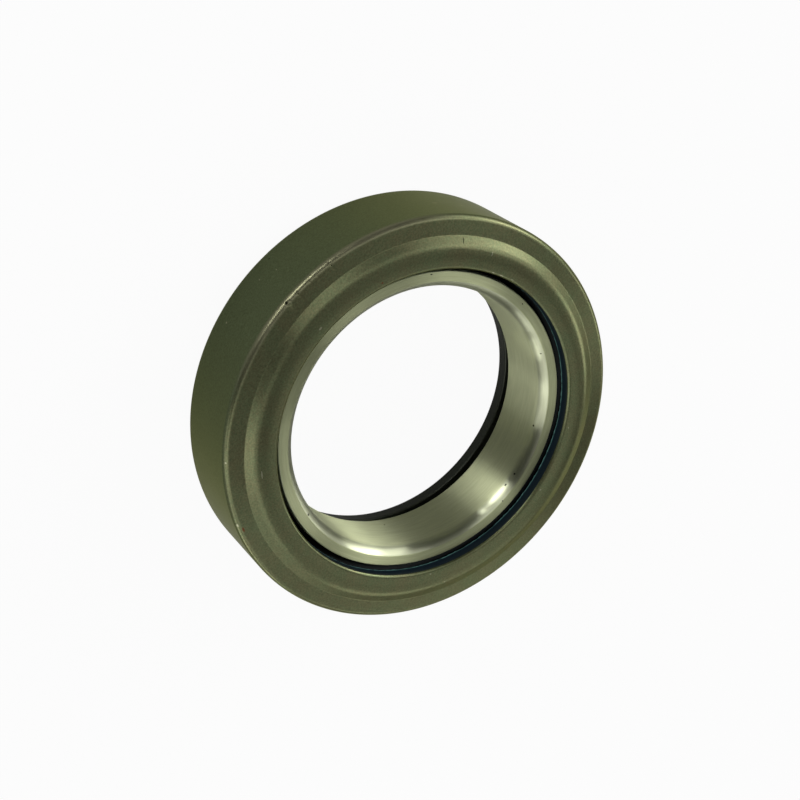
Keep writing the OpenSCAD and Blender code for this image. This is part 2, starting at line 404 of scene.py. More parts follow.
RING, LINES, SPECKS, MARK = ring_coordinates(), turning_marks(), specks(), one_mark()
print("groups", [group.name for group in (RING, LINES, SPECKS, MARK)])


# %% The groups in a material
def turning_lines(tree, ring, run=4.0, per_mm=4.0):
    """Turning marks on a ring: a larger run makes them shorter, and per_mm of them fit in 1 mm."""
    around = {name: ring[name] for name in ("Direction", "Radius", "Height")}
    return use(tree, LINES, {**around, "Run": run, "Lines per mm": per_mm})["Value"]


def dots(tree, ring, spacing, size, share):
    """Specks of a size, at a spacing, both in mm, in a share of the places."""
    inputs = {"Place": ring["Place"], "Spacing mm": spacing, "Size mm": size, "Share": share}
    return use(tree, SPECKS, inputs)["Mask"]


def marks(tree, ring, table):
    """The largest of several marks, each (angle, radius, height, half sizes outwards, around, up)."""
    place = ring["Place"]
    total, ragged = 0.0, noise(tree, place, scale=4.0)
    for angle, radius, height, half in table:
        turn = math.radians(angle)
        centre = (radius * math.cos(turn), radius * math.sin(turn), height)
        inputs = {"Place": place, "Centre": centre, "Turn": turn, "Half size": half, "Ragged": ragged}
        total = calc(tree, "MAXIMUM", total, use(tree, MARK, inputs)["Mask"])
    return total


def near_circle(tree, ring, circle, near, far):
    """1 within near mm of a circle round the axis (radius, height), falling to 0 at far mm."""
    level = add(tree, "CombineXYZ", {0: ring["Radius"], 1: ring["Height"]}).outputs[0]
    apart = vector(tree, "SUBTRACT", level, (*circle, 0.0))
    return ramp(tree, length(tree, apart), start=far, end=near)


# %% Materials
def new_material(name, settings):
    """A material whose constants sit on the Principled shader's own sockets."""
    material = bpy.data.materials.new(name)
    material.use_nodes = True
    tree = material.node_tree
    shader = tree.nodes["Principled BSDF"]
    for socket, value in settings.items():
        shader.inputs[socket].default_value = value
    place = add(tree, "TexCoord", {}).outputs["Object"]
    return material, tree, shader, use(tree, RING, {"Object": place})


def connect(tree, shader, height, **sockets):
    """Link values that change over the surface; the height in mm goes through a Bump node."""
    bump = add(tree, "Bump", {"Height": height, "Strength": 1.0, "Distance": MM})
    tree.links.new(bump.outputs[0], shader.inputs["Normal"])
    for name, value in sockets.items():
        tree.links.new(value, shader.inputs[name.replace("_", " ")])


# %% [markdown]
# ## Sizes of the sections
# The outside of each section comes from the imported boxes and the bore's mount, so that the skins
# follow the frame. The rest are the sheet's thicknesses, the widths and slopes of the drawn face, and
# the places of the lip, the land and the seal's wall, in millimetres.

# %% Sizes from the frame
mounts = {m["name"]: m for m in frame["record"]["mounts"]}
BORE_R = mounts["bore"]["dims"]["r_mm"]
casing_low, casing_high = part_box("casing")
CASING_R, RIM_Z, FACE_Z = casing_high.x / MM, casing_low.z / MM, casing_high.z / MM
RING_R, RING_FRONT_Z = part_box("outer_ring")[1].x / MM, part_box("outer_ring")[1].z / MM
inner_low, inner_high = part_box("inner_ring")
INNER_REAR_Z, INNER_FRONT_Z, SHOULDER_R = inner_low.z / MM, inner_high.z / MM, inner_high.x / MM
SEAL_R, SEAL_TOP_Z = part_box("front_seal")[1].x / MM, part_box("front_seal")[1].z / MM
ball_low, ball_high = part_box("ball_01")
BALL_R = (ball_high.z - ball_low.z) / 2 / MM
PITCH_R, BALL_Z = (ball_high.x + ball_low.x) / 2 / MM, (ball_high.z + ball_low.z) / 2 / MM
print("casing", round(CASING_R, 3), "face", round(FACE_Z, 3), "bore", BORE_R)
print("ball radius", round(BALL_R, 3), "pitch", round(PITCH_R, 3), "at height", round(BALL_Z, 3))

# %% Sizes of the drawn face, the land and the wall
SHEET_T, LIP_T = 1.5, 0.6
FLAT_W, BOW_W, STEP_W, BAND_W = 2.8, 2.3, 2.3, 4.5
BOW_SLOPE, STEP_SLOPE, BAND_SLOPE = 8, 26, 8.5
RIM_W = 3.4
LAND_CLEAR, LAND_H = 1.3, 3.8
WALL_H, COLLAR_T = 2.55, 1.3
SEAT_GAP = 0.03
LIP_R = CASING_R - FLAT_W - BOW_W - STEP_W - BAND_W
LAND_R, LAND_Z = LIP_R - LAND_CLEAR, INNER_FRONT_Z - LAND_H
WALL_LOW_Z = SEAL_TOP_Z - WALL_H
print("lip", round(LIP_R, 3), "land", round(LAND_R, 3), "wall down to", round(WALL_LOW_Z, 3))

# %% [markdown]
# ## The drawn casing
# Sheet steel, blanked and drawn into a shallow cup, then rolled in at the rear. Its outside is
# phosphated: zinc or manganese crystals grown on the steel and oiled, a dark olive coat that is
# mostly a dull mirror. So the shader is nearly all metal, with a low colour, a middling roughness and
# a grain of brown and green. The cylinder is a little darker and greener than the face.
#
# Handling leaves pale scratches and a few flecks of rust, and the nicks and a few spots are coloured
# darker. Some are large enough to be seen one by one, so they are listed. The fine dust comes from
# the specks.

# %% Marks on the casing
# Angle in degrees, radius and height in mm, and half the size outwards, around and up
PALE_MARKS = [
    (266.6, 49.6, 23.2, (0.2, 0.2, 0.25)),
    (257.7, 49.6, 23.4, (0.25, 0.22, 0.25)),
    (266.8, 40.3, 25.9, (0.25, 0.5, 1)),
    (202.7, 42.5, 25.7, (0.7, 0.14, 1)),
    (199.8, 38.5, 25.8, (0.22, 0.35, 1)),
    (196.2, 38.5, 25.8, (0.12, 0.7, 1)),
    (191.4, 38.7, 25.8, (0.12, 0.5, 1)),
    (216.2, 50, 14.5, (1, 0.9, 0.2)),
    (208.5, 50, 15.3, (1, 0.8, 0.18)),
    (213.5, 50, 12.0, (1, 0.5, 0.14)),
    (267.2, 50, 9.5, (1, 0.2, 0.3)),
    (280.9, 50, 8.3, (1, 0.25, 0.35)),
    (262.6, 50, 11.9, (1, 0.2, 0.2)),
    (331.2, 49.5, 23.7, (0.3, 0.5, 0.3)),
    (312.4, 49.6, 23.7, (0.35, 0.3, 0.3)),
    (317.2, 42.0, 25.7, (0.18, 1.1, 1)),
    (96.9, 39.4, 25.9, (0.2, 0.3, 1)),
    (121.5, 39.6, 25.9, (0.18, 0.25, 1)),
    (45.4, 39.2, 25.9, (0.16, 0.3, 1)),
    (50.8, 43.0, 25.6, (0.2, 0.2, 1)),
]
DARK_MARKS = [
    (267.6, 49.5, 23.5, (0.35, 0.4, 0.4)),
    (264.0, 49.1, 23.9, (0.3, 0.14, 0.3)),
    (253.0, 48.9, 24.0, (0.35, 0.14, 0.3)),
    (261.4, 50, 6.4, (1, 0.35, 0.2)),
    (213.3, 44.4, 25.0, (0.8, 0.12, 1)),
]
RUST_MARKS = [
    (333.0, 48.7, 24.0, (0.3, 0.7, 0.4)),
    (339.0, 50, 20.0, (1, 0.35, 0.3)),
    (242.3, 39.5, 25.9, (0.25, 0.25, 1)),
]
PALE, DARK, RUST = (0.24, 0.24, 0.16, 1), (0.012, 0.014, 0.008, 1), (0.12, 0.045, 0.022, 1)
print("marks", len(PALE_MARKS), "pale,", len(DARK_MARKS), "dark,", len(RUST_MARKS), "rust")

# %% [markdown]
# ### The worn corner, with a painted highlight
# At the upper left the coat is rubbed off the front corner in a thin line, where the bearing has been
# gripped and knocked, and the paler colour there is also a painted highlight. The line follows a
# circle round the axis and fades out on both sides of one direction, so it is a product of three
# masks: near the circle, facing that way, and uneven.

# %% The worn corner and its painted highlight
FRONT_CORNER = (CASING_R - 0.3, 23.5)
HANDLED_AND_LIT_ANGLE = math.radians(255)
HANDLED_AND_LIT = (math.cos(HANDLED_AND_LIT_ANGLE), math.sin(HANDLED_AND_LIT_ANGLE), 0.0)
# A paler colour: the rubbed coat, and a painted highlight on the corner.
WORN_AND_HIGHLIGHT = (0.165, 0.163, 0.1, 1)
WORN_ROUGH = 0.1


def worn_and_highlight_share(tree, ring, blotch):
    """The mask of wear and painted highlight: near the corner's circle x facing one direction x an
    uneven one of blotches.
    """
    corner = near_circle(tree, ring, FRONT_CORNER, near=0.4, far=1.3)
    inputs = {0: ring["Direction"], 1: HANDLED_AND_LIT}
    facing = add(tree, "VectorMath", inputs, operation="DOT_PRODUCT").outputs["Value"]
    worn_and_highlight = calc(tree, "MULTIPLY", corner, ramp(tree, facing, start=0.72, end=0.97))
    return calc(tree, "MULTIPLY", worn_and_highlight, ramp(tree, blotch, start=0.2, end=0.6, low=0.7))


# %% Phosphate
WALL_TINT_TOP_Z, WALL_TINT_FULL_Z = 23.8, 22.6
DUST_SHARE, RUST_SHARE = 0.6, 0.5
GRAIN_HEIGHT, LINE_HEIGHT, DARK_MARK_DEPTH = 0.012, 0.006, 0.05
BLOTCH_ROUGH = 0.05


def crystal_colour(tree, ring, blotch, grain, brown, green, wall):
    """Brown to green by noise, the wall's tint below the corner, all times a fine change of tone."""
    mixed = scaled(tree, grain, by=1.2, plus=calc(tree, "MULTIPLY", blotch, 0.8))
    colour = blend(tree, ramp(tree, mixed, start=0.6, end=1.4), (*brown, 1), (*green, 1))
    below = ramp(tree, ring["Height"], start=WALL_TINT_TOP_Z, end=WALL_TINT_FULL_Z)
    colour = blend(tree, below, colour, (*wall, 1))
    fine = noise(tree, ring["Place"], scale=2.4, detail=1.0, rough=0.6)
    return blend(tree, 1.0, colour, scaled(tree, fine, by=0.9, plus=0.55), "MULTIPLY")


def phosphate(name, brown, green, wall, settings, marked):
    """A dark crystal coat on steel: its colour, then wear with a painted highlight, rust, dust and
    dark marks over one another.
    """
    material, tree, shader, ring = new_material(name, settings)
    blotch = noise(tree, ring["Place"], scale=0.16, detail=3.0)
    grain = noise(tree, ring["Place"], scale=2.6, rough=0.7)
    colour = crystal_colour(tree, ring, blotch, grain, brown, green, wall)
    pale = calc(tree, "MULTIPLY", dots(tree, ring, spacing=5.0, size=0.22, share=0.35), DUST_SHARE)
    rust = calc(tree, "MULTIPLY", dots(tree, ring, spacing=7.0, size=0.3, share=0.2), RUST_SHARE)
    dark = 0.0
    rough = scaled(tree, blotch, by=BLOTCH_ROUGH, plus=settings["Roughness"] - BLOTCH_ROUGH / 2)
    if marked:
        # The front corner: rubbed coat and a painted highlight, on one side only.
        worn_and_highlight = worn_and_highlight_share(tree, ring, blotch)
        colour = blend(tree, worn_and_highlight, colour, WORN_AND_HIGHLIGHT)
        rough = scaled(tree, worn_and_highlight, by=WORN_ROUGH, plus=rough)
        pale = calc(tree, "MAXIMUM", pale, marks(tree, ring, PALE_MARKS))
        rust = calc(tree, "MAXIMUM", rust, marks(tree, ring, RUST_MARKS))
        dark = marks(tree, ring, DARK_MARKS)
    colour = blend(tree, rust, colour, RUST)
    colour = blend(tree, dark, blend(tree, pale, colour, PALE), DARK)
    lines = calc(tree, "MULTIPLY", turning_lines(tree, ring), LINE_HEIGHT)
    height = scaled(tree, grain, by=GRAIN_HEIGHT, plus=lines)
    height = scaled(tree, dark, by=-DARK_MARK_DEPTH, plus=height)
    connect(tree, shader, height, Base_Color=colour, Roughness=rough)
    return material


# %% The two phosphated finishes
sheet_finish = phosphate(
    "phosphated_drawn_sheet",
    brown=(0.118, 0.113, 0.059),
    green=(0.097, 0.120, 0.061),
    wall=(0.077, 0.1, 0.055),
    settings={"Metallic": 0.9, "Roughness": 0.29, "Specular Tint": (1, 1, 0.6, 1)},
    marked=True,
)
race_finish = phosphate(
    "phosphated_turned_race",
    brown=(0.034, 0.036, 0.023),
    green=(0.030, 0.037, 0.024),
    wall=(0.031, 0.036, 0.024),
    settings={"Metallic": 0.5, "Roughness": 0.4},
    marked=False,
)
print("phosphate", len(sheet_finish.node_tree.nodes), "nodes on the sheet")

# %% [markdown]
# ### The casing's skin
# The sheet keeps its thickness through every bend, so its inner side is worked out from the outer
# one. The nicks at the upper left are real dents, because a light that grazes the corner shows their
# shape. A bump map can't change the corner's outline. Each nick pushes the corner in over half a
# millimetre or so, and the angles are close together there.

# %% The casing's corners
LIP_ROUND_W, LIP_ROUND_R = 0.8, 1.0
BOW_R, CREST_R, FOOT_R, FRONT_R, REAR_R = 18, 4.5, 0.5, 1.35, 1.6
LIP_EDGE, RIM_EDGE = 0.05, 0.1


def fall(width, slope):
    """How far a face falls over a width at a slope in degrees."""
    return width * math.tan(math.radians(slope))


def behind(place, before, after):
    """The sheet's inner surface behind a corner: SHEET_T / cos of half the change of slope away."""
    middle, half = math.radians((before + after) / 2), math.radians((after - before) / 2)
    far = SHEET_T / math.cos(half)
    return place[0] - far * math.sin(middle), place[1] - far * math.cos(middle), 0


def casing_corners():
    """The section, from under the lip outwards inside the cup, and back over its outside."""
    thin_r = LIP_R + COLLAR_T + SEAT_GAP
    bow = (LIP_R + FLAT_W, FACE_Z)
    crest = (bow[0] + BOW_W, bow[1] - fall(BOW_W, BOW_SLOPE))
    foot = (crest[0] + STEP_W, crest[1] - fall(STEP_W, STEP_SLOPE))
    front = (CASING_R, foot[1] - fall(BAND_W, BAND_SLOPE))
    lip_end = math.pi - math.acos(LIP_ROUND_W / LIP_ROUND_R)
    lip_centre = (LIP_R + LIP_ROUND_W, FACE_Z - LIP_ROUND_R)
    return [
        (LIP_R, FACE_Z - LIP_T, LIP_EDGE),
        (thin_r, FACE_Z - LIP_T, 0),
        (thin_r, FACE_Z - SHEET_T, 0),
        behind(bow, 0, BOW_SLOPE),
        behind(crest, BOW_SLOPE, STEP_SLOPE),
        behind(foot, STEP_SLOPE, BAND_SLOPE),
        behind(front, BAND_SLOPE, 90),
        (CASING_R - SHEET_T, RIM_Z + SHEET_T, 0),
        (CASING_R - RIM_W, RIM_Z + SHEET_T, RIM_EDGE),
        (CASING_R - RIM_W, RIM_Z, RIM_EDGE),
        (CASING_R, RIM_Z, REAR_R),
        (*front, FRONT_R),
        (*foot, FOOT_R),
        (*crest, CREST_R),
        (*bow, BOW_R),
        *arc_corners(*lip_centre, LIP_ROUND_R, math.pi / 2, lip_end, count=8),
    ]


# %% The nicks and the skin
# Angle in degrees, width and depth in mm
NICKS = [
    (267.3, 0.5, 0.26),
    (264.0, 0.25, 0.10),
    (259.9, 0.25, 0.06),
    (257.5, 0.3, 0.08),
    (253.0, 0.3, 0.12),
]
NICKED = (CASING_R - 0.8, 23.8)
NICK_REACH = 0.5
INWARDS = 0.7


def bell(squared, width):
    """exp(-(distance / width) squared): 1 in the middle and near 0 at twice the width."""
    return np.exp(-(squared / width**2))


def nicked(r, z, a):
    """Each nick pushes the front corner in down its bisector by depth x two bell curves."""
    push = 0 * r
    for angle, width, depth in NICKS:
        along = np.radians((np.degrees(a) - angle + 180) % 360 - 180) * CASING_R
        push = push + depth * bell(along**2, width)
    near = bell((r - NICKED[0]) ** 2 + (z - NICKED[1]) ** 2, NICK_REACH)
    return r - INWARDS * push * near, z - INWARDS * push * near


casing_angles = angles_round(450, [nick[0] for nick in NICKS], reach=1.6)
casing_skin = turned("drawn_casing", section(casing_corners(), step=3.0), casing_angles, nicked)
dress(casing_skin, "casing", "outer", sheet_finish)

# %% [markdown]
# ## The races
# The outer race is turned and hardened with the casing pressed over it. Only the edge of its rear
# flange shows, dark, through the bore. The inner race is ground bright. Its bore and its face keep
# the fine lines of the wheel, which run round the axis, so a lamp's reflection is drawn out across
# them. An anisotropic shader does that from a tangent round the axis, and its constant stays on the
# shader. The curve that leads into the bore is polished, so it is less rough than the rest.

# %% Marks on the steel
# Angle in degrees, radius and height in mm, and half the size outwards, around and up
STEEL_MARKS = [
    (221.8, 36.2, 23.0, (0.2, 0.35, 1)),
    (178.0, 35.8, 23.0, (0.18, 0.25, 1)),
    (153.0, 33.7, 22.4, (0.2, 0.2, 1)),
    (84.8, 34.4, 23.0, (0.2, 0.2, 1)),
    (343.7, 34.0, 22.7, (0.4, 0.3, 0.4)),
    (38.0, 32.5, 10.3, (1, 0.25, 0.2)),
    (90.7, 33.0, 21.6, (0.4, 0.4, 0.25)),
    (96.7, 33.1, 21.8, (0.4, 0.3, 0.25)),
    (119.0, 32.8, 21.1, (0.4, 0.3, 0.3)),
]
print("marks on the steel", len(STEEL_MARKS))

# %% Ground steel
STEEL_LOW, STEEL_HIGH = (0.34, 0.366, 0.212, 1), (0.41, 0.436, 0.262, 1)
BORE_STEEL, BORE_STEEL_SHARE = (0.58, 0.6, 0.4, 1), 0.3
LEAD_STEEL, PIT = (0.40, 0.42, 0.29, 1), (0.05, 0.05, 0.035, 1)
LEAD_ROUGH, BORE_ROUGHER, FACE_ROUGHER, UNEVEN_ROUGH = 0.28, 0.14, 0.12, 0.12
FINE_HEIGHT, BROAD_HEIGHT = 0.002, 0.002
LINES_LEFT = 0.03
PIT_SHARE = 0.6


def steel_colour(tree, ring, bore, ground, fine, broad):
    """Two tints by the fine lines, paler in the bore, greyer on the lead-in, then tone and pits."""
    colour = blend(tree, ramp(tree, fine, start=0.3, end=0.7), STEEL_LOW, STEEL_HIGH)
    colour = blend(tree, calc(tree, "MULTIPLY", bore, BORE_STEEL_SHARE), colour, BORE_STEEL)
    colour = blend(tree, calc(tree, "SUBTRACT", 1.0, ground), colour, LEAD_STEEL)
    colour = blend(tree, 1.0, colour, scaled(tree, broad, by=0.4, plus=0.82), "MULTIPLY")
    pits = calc(tree, "MULTIPLY", dots(tree, ring, spacing=6.0, size=0.16, share=0.3), PIT_SHARE)
    return blend(tree, calc(tree, "MAXIMUM", pits, marks(tree, ring, STEEL_MARKS)), colour, PIT)


def ground_steel():
    """Tinted metal, its lines drawn round the axis; the bore is the roughest across its lines."""
    settings = {"Metallic": 1.0, "Anisotropic": 1.0, "Anisotropic Rotation": 0.25}
    material, tree, shader, ring = new_material("ground_race_steel", settings)
    fine = turning_lines(tree, ring, run=3.0, per_mm=9.0)
    broad = turning_lines(tree, ring, run=6.0, per_mm=1.6)
    bore = ramp(tree, ring["Radius"], start=BORE_R + 0.35, end=BORE_R + 0.05)
    face = ramp(tree, ring["Height"], start=INNER_FRONT_Z - 0.12, end=INNER_FRONT_Z - 0.02)
    ground = calc(tree, "ADD", bore, face)
    rough = scaled(tree, bore, by=BORE_ROUGHER, plus=LEAD_ROUGH)
    rough = scaled(tree, face, by=FACE_ROUGHER, plus=rough)
    uneven = calc(tree, "MULTIPLY", calc(tree, "SUBTRACT", broad, 0.5), ground)
    rough = scaled(tree, uneven, by=UNEVEN_ROUGH, plus=rough)
    colour = steel_colour(tree, ring, bore, ground, fine, broad)
    height = scaled(tree, fine, by=FINE_HEIGHT, plus=calc(tree, "MULTIPLY", broad, BROAD_HEIGHT))
    height = calc(tree, "MULTIPLY", height, scaled(tree, ground, by=1 - LINES_LEFT, plus=LINES_LEFT))
    tangent = add(tree, "Tangent", {}, direction_type="RADIAL", axis="Z").outputs[0]
    tree.links.new(tangent, shader.inputs["Tangent"])
    connect(tree, shader, height, Base_Color=colour, Roughness=rough)
    return material


steel_finish = ground_steel()
print("ground steel", len(steel_finish.node_tree.nodes), "nodes")

# %% [markdown]
# ### The grooves and the skins of the races
# Each groove is an arc a little larger than the ball, and its centre lies beyond the ball's, so that
# the two come closest on a line at 45 degrees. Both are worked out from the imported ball. They are
# never seen, but a skin that left them out would cut into the balls.

# %% The two grooves
CONFORMITY = 0.52
BALL_GAP = 0.03
LOW_SHOULDER, OUTER_SHOULDER = 0.6, 3.25
GROOVE_R = CONFORMITY * 2 * BALL_R
SHIFT = (GROOVE_R - BALL_R - BALL_GAP) / math.sqrt(2)
REAR_LAND_R = PITCH_R + SHIFT - GROOVE_R + LOW_SHOULDER
BESIDE_R = PITCH_R - SHIFT + GROOVE_R
CAVITY_R = BESIDE_R - OUTER_SHOULDER
inner_start = math.pi + math.acos((PITCH_R + SHIFT - REAR_LAND_R) / GROOVE_R)
inner_end = math.pi - math.acos((PITCH_R + SHIFT - SHOULDER_R) / GROOVE_R)
outer_end = -math.acos((CAVITY_R - PITCH_R + SHIFT) / GROOVE_R)
inner_groove = arc_corners(PITCH_R + SHIFT, BALL_Z - SHIFT, GROOVE_R, inner_start, inner_end, count=24)
outer_groove = arc_corners(PITCH_R - SHIFT, BALL_Z + SHIFT, GROOVE_R, 0, outer_end, count=20)
print("groove radius", round(GROOVE_R, 3))

# %% The inner race's skin
LEAD_R, LEAD_W = 3.75, 1.9
BORE_EDGE_R, INNER_EDGE, LEAD_EDGE = 0.8, 0.3, 0.1
LEAD_Z = INNER_FRONT_Z - math.sqrt(LEAD_R**2 - (LEAD_R - LEAD_W) ** 2)
lead_end = math.acos((LEAD_W - LEAD_R) / LEAD_R)
lead_in = arc_corners(BORE_R + LEAD_R, LEAD_Z, LEAD_R, lead_end, math.pi, count=18)
inner_corners = [
    (BORE_R, INNER_REAR_Z, BORE_EDGE_R),
    (REAR_LAND_R, INNER_REAR_Z, INNER_EDGE),
    *inner_groove,
    (SHOULDER_R, LAND_Z, INNER_EDGE),
    (LAND_R, LAND_Z, 0),
    (LAND_R, INNER_FRONT_Z, INNER_EDGE),
    (BORE_R + LEAD_W, INNER_FRONT_Z, LEAD_EDGE),
    *lead_in[1:],
]
race_skin = turned("ground_race", section(inner_corners, step=1.0), angles_round(480))
dress(race_skin, "inner_ring", "inner", steel_finish)

# %% The outer race's skin
FLANGE_CLEAR, FLANGE_T = 1.8, 3.2
SEAT_DEPTH = 3.5
RING_EDGE = 0.5
FLANGE_R = BORE_R + FLANGE_CLEAR
BOSS_R = CASING_R - RIM_W - SEAT_GAP
RING_REAR_Z = RIM_Z + SHEET_T + SEAT_GAP
SEAT_Z = RING_FRONT_Z - SEAT_DEPTH
outer_corners = [
    (FLANGE_R, 0, RING_EDGE),
    (BOSS_R, 0, RING_EDGE),
    (BOSS_R, RING_REAR_Z, 0),
    (RING_R, RING_REAR_Z, RING_EDGE),
    (RING_R, RING_FRONT_Z, RING_EDGE),
    (SEAL_R + SEAT_GAP, RING_FRONT_Z, 0),
    (SEAL_R + SEAT_GAP, SEAT_Z, 0),
    (BESIDE_R, SEAT_Z, 0),
    *outer_groove,
    (CAVITY_R, FLANGE_T, 0),
    (FLANGE_R, FLANGE_T, RING_EDGE),
]
flanged_race = turned("flanged_race", section(outer_corners, step=2.0), angles_round(360))
dress(flanged_race, "outer_ring", "outer", race_finish)

# %% [markdown]
# ## The seals
# The front seal is moulded in dark blue rubber. It lies under the casing's lip, and its thin wall
# goes down beside the bright race. Moulded rubber is trimmed, so the wall's lower edge is a little
# ragged, and a teal line along it is a painted highlight. Below that edge the gap is filled with
# painted shade. A metal with almost no colour gives that dark, because it reflects next to nothing,
# where plain rubber would still shine. Masks by place put the painted highlight and the painted
# shade into one material.

# %% Seal rubber
# The gap's painted shade, and the circle of the painted highlight line.
GAP_SHADE = (0.008, 0.009, 0.009, 1)
GAP_SHADE_TOP_Z, GAP_SHADE_FULL_Z = WALL_LOW_Z + 0.02, WALL_LOW_Z - 0.12
PAINTED_HIGHLIGHT_LINE = (LIP_R, WALL_LOW_Z + 0.1)
PALER = 1.7
RUBBER_GRAIN, RUBBER_LINES = 0.02, 0.03


def rubber(name, colour, edge):
    """Dark dielectric with a fine grain; a painted highlight line where the wall ends, and painted
    shade below it.
    """
    material, tree, shader, ring = new_material(name, {"Roughness": 0.38, "Specular IOR Level": 0.25})
    lines = turning_lines(tree, ring, run=30.0, per_mm=3.0)
    grain = noise(tree, ring["Place"], scale=5.0, detail=3.0, rough=0.6)
    # A teal line at the wall's lower edge: a painted highlight.
    lower = near_circle(tree, ring, PAINTED_HIGHLIGHT_LINE, near=0.12, far=0.42)
    painted_edge_highlight = calc(tree, "MULTIPLY", lower, ramp(tree, lines, start=0.3, end=0.52))
    # Below the wall, painted shade: near black and metallic, so it reflects almost nothing.
    painted_gap_shade = ramp(tree, ring["Height"], start=GAP_SHADE_TOP_Z, end=GAP_SHADE_FULL_Z)
    pale = [PALER * c for c in colour]
    tone = blend(tree, ramp(tree, grain, start=0.3, end=0.7), (*colour, 1), (*pale, 1))
    height = scaled(tree, grain, by=RUBBER_GRAIN, plus=calc(tree, "MULTIPLY", lines, RUBBER_LINES))
    tone = blend(tree, painted_edge_highlight, blend(tree, painted_gap_shade, tone, GAP_SHADE), (*edge, 1))
    connect(tree, shader, height, Base_Color=tone, Metallic=painted_gap_shade)
    return material


# The edge colour is the painted teal highlight.
seal_finish = rubber("moulded_seal_rubber", colour=(0.0035, 0.008, 0.0125), edge=(0.1, 0.22, 0.2))
print("seal rubber", len(seal_finish.node_tree.nodes), "nodes")

# %% The front seal's corners
WEB_T, TIP_T, SEAL_RIM_W = 1.3, 0.6, 2
SEAL_GAP, TIP_UP = 0.15, 0.9
TOP_EDGE, WALL_EDGE, TIP_EDGE = 0.05, 0.15, 0.1
COLLAR_R = LIP_R + COLLAR_T
TIP_R, TIP_Z = LAND_R + SEAL_GAP, LAND_Z + TIP_UP
WEB_TOP_Z = FACE_Z - SHEET_T - SEAT_GAP
seal_corners = [
    (LIP_R, SEAL_TOP_Z, TOP_EDGE),
    (LIP_R, WALL_LOW_Z, WALL_EDGE),
    (COLLAR_R, WALL_LOW_Z, 0),
    (COLLAR_R, WALL_LOW_Z - TIP_T, 0),
    (TIP_R, TIP_Z + TIP_T, TIP_EDGE),
    (TIP_R, TIP_Z, TIP_EDGE),
    (COLLAR_R + TIP_T, TIP_Z + TIP_T, 0),
    (LIP_R + FLAT_W, WEB_TOP_Z - WEB_T, 0),
    (SEAL_R - SEAL_RIM_W, RING_FRONT_Z - WEB_T, 0),
    (SEAL_R - SEAL_RIM_W, SEAT_Z + SEAT_GAP, 0),
    (SEAL_R, SEAT_Z + SEAT_GAP, 0),
    (SEAL_R, RING_FRONT_Z, 0),
    (SEAL_R - SEAL_RIM_W, RING_FRONT_Z, 0),
    (LIP_R + FLAT_W, WEB_TOP_Z, 0),
    (COLLAR_R, WEB_TOP_Z, 0),
    (COLLAR_R, SEAL_TOP_Z, 0),
]
print("seal lip at radius", round(TIP_R, 3), "height", round(TIP_Z, 3))

# %% The front seal's skin
TRIM_DEPTH = 0.1
TRIM_REACH = 0.5
rng = np.random.default_rng(7)
WAVES = [(count, rng.uniform(0, 2 * math.pi)) for count in (3, 7, 13, 29, 53, 97, 140)]


def trimmed(r, z, a):
    """The wall's lower edge rises and falls by a sum of sines round the axis."""
    wave = sum(np.sin(count * a + phase) for count, phase in WAVES) / math.sqrt(len(WAVES))
    near = bell((r - LIP_R) ** 2 + (z - WALL_LOW_Z) ** 2, TRIM_REACH)
    return r, z + TRIM_DEPTH * wave * near


seal_collar = turned("seal_collar", section(seal_corners, step=1.5), angles_round(600), trimmed)
dress(seal_collar, "front_seal", "outer", seal_finish)

# %% [markdown]
# ## What the seals hide
# The rear seal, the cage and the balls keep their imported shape, which is exact, so a new skin would
# add nothing. They still get their own finishes, for the moment when someone takes the bearing apart.

# %% Cage and ball finishes
CAGE_LOW, CAGE_HIGH = (0.50, 0.42, 0.28, 1), (0.57, 0.49, 0.34, 1)
BALL_LOW, BALL_HIGH = (0.58, 0.58, 0.56, 1), (0.66, 0.66, 0.64, 1)
CAGE_GRAIN, BALL_HAZE = 0.01, 0.001
BALL_ROUGH, BALL_ROUGHER = 0.08, 0.08


def moulded_cage():
    """Pale moulded plastic with a faint flow pattern."""
    material, tree, shader, ring = new_material("moulded_cage_plastic", {"Roughness": 0.5})
    flow = noise(tree, ring["Place"], scale=0.5, detail=3.0)
    grain = noise(tree, ring["Place"], scale=8.0)
    colour = blend(tree, ramp(tree, flow, start=0.35, end=0.65), CAGE_LOW, CAGE_HIGH)
    connect(tree, shader, calc(tree, "MULTIPLY", grain, CAGE_GRAIN), Base_Color=colour)
    return material


def polished_ball():
    """Bright steel with the haze of fine lapping."""
    material, tree, shader, ring = new_material("lapped_ball_steel", {"Metallic": 1.0})
    haze = noise(tree, ring["Place"], scale=1.2, detail=3.0)
    colour = blend(tree, haze, BALL_LOW, BALL_HIGH)
    rough = scaled(tree, haze, by=BALL_ROUGHER, plus=BALL_ROUGH)
    height = calc(tree, "MULTIPLY", haze, BALL_HAZE)
    connect(tree, shader, height, Base_Color=colour, Roughness=rough)
    return material


finishes = {"rear_seal": seal_finish, "cage": moulded_cage()}
ball_finish = polished_ball()
finishes.update({name: ball_finish for name in frame["nodes"] if name.startswith("ball_")})
for name, finish in finishes.items():
    for material_slot in frame["nodes"][name].material_slots:
        material_slot.material = finish
print("finished nodes", len(finishes))

# %% [markdown]
# ## Floor and light
# A seller's picture shows the bearing on plain white, with soft light from all sides. The floor is a
# pale sheet that shows white to the camera and partly to reflections, and it still takes the
# bearing's soft shadow. A white world alone would leave the steel flat and bright all over. So the
# room is dim, and round softboxes stand about the bearing, each where a bright streak or a pale side
# needs it. Their light adds up to about 1 on a level white sheet.

# %% Floor
SHOWN_WHITE = 0.95
MIRRORED_WHITE = 0.12
FLOOR_HALF = 3.0
FLOOR_GREY, FLOOR_ROUGH = (0.5, 0.5, 0.5, 1), 0.9
WHITE = (1, 1, 1, 1)


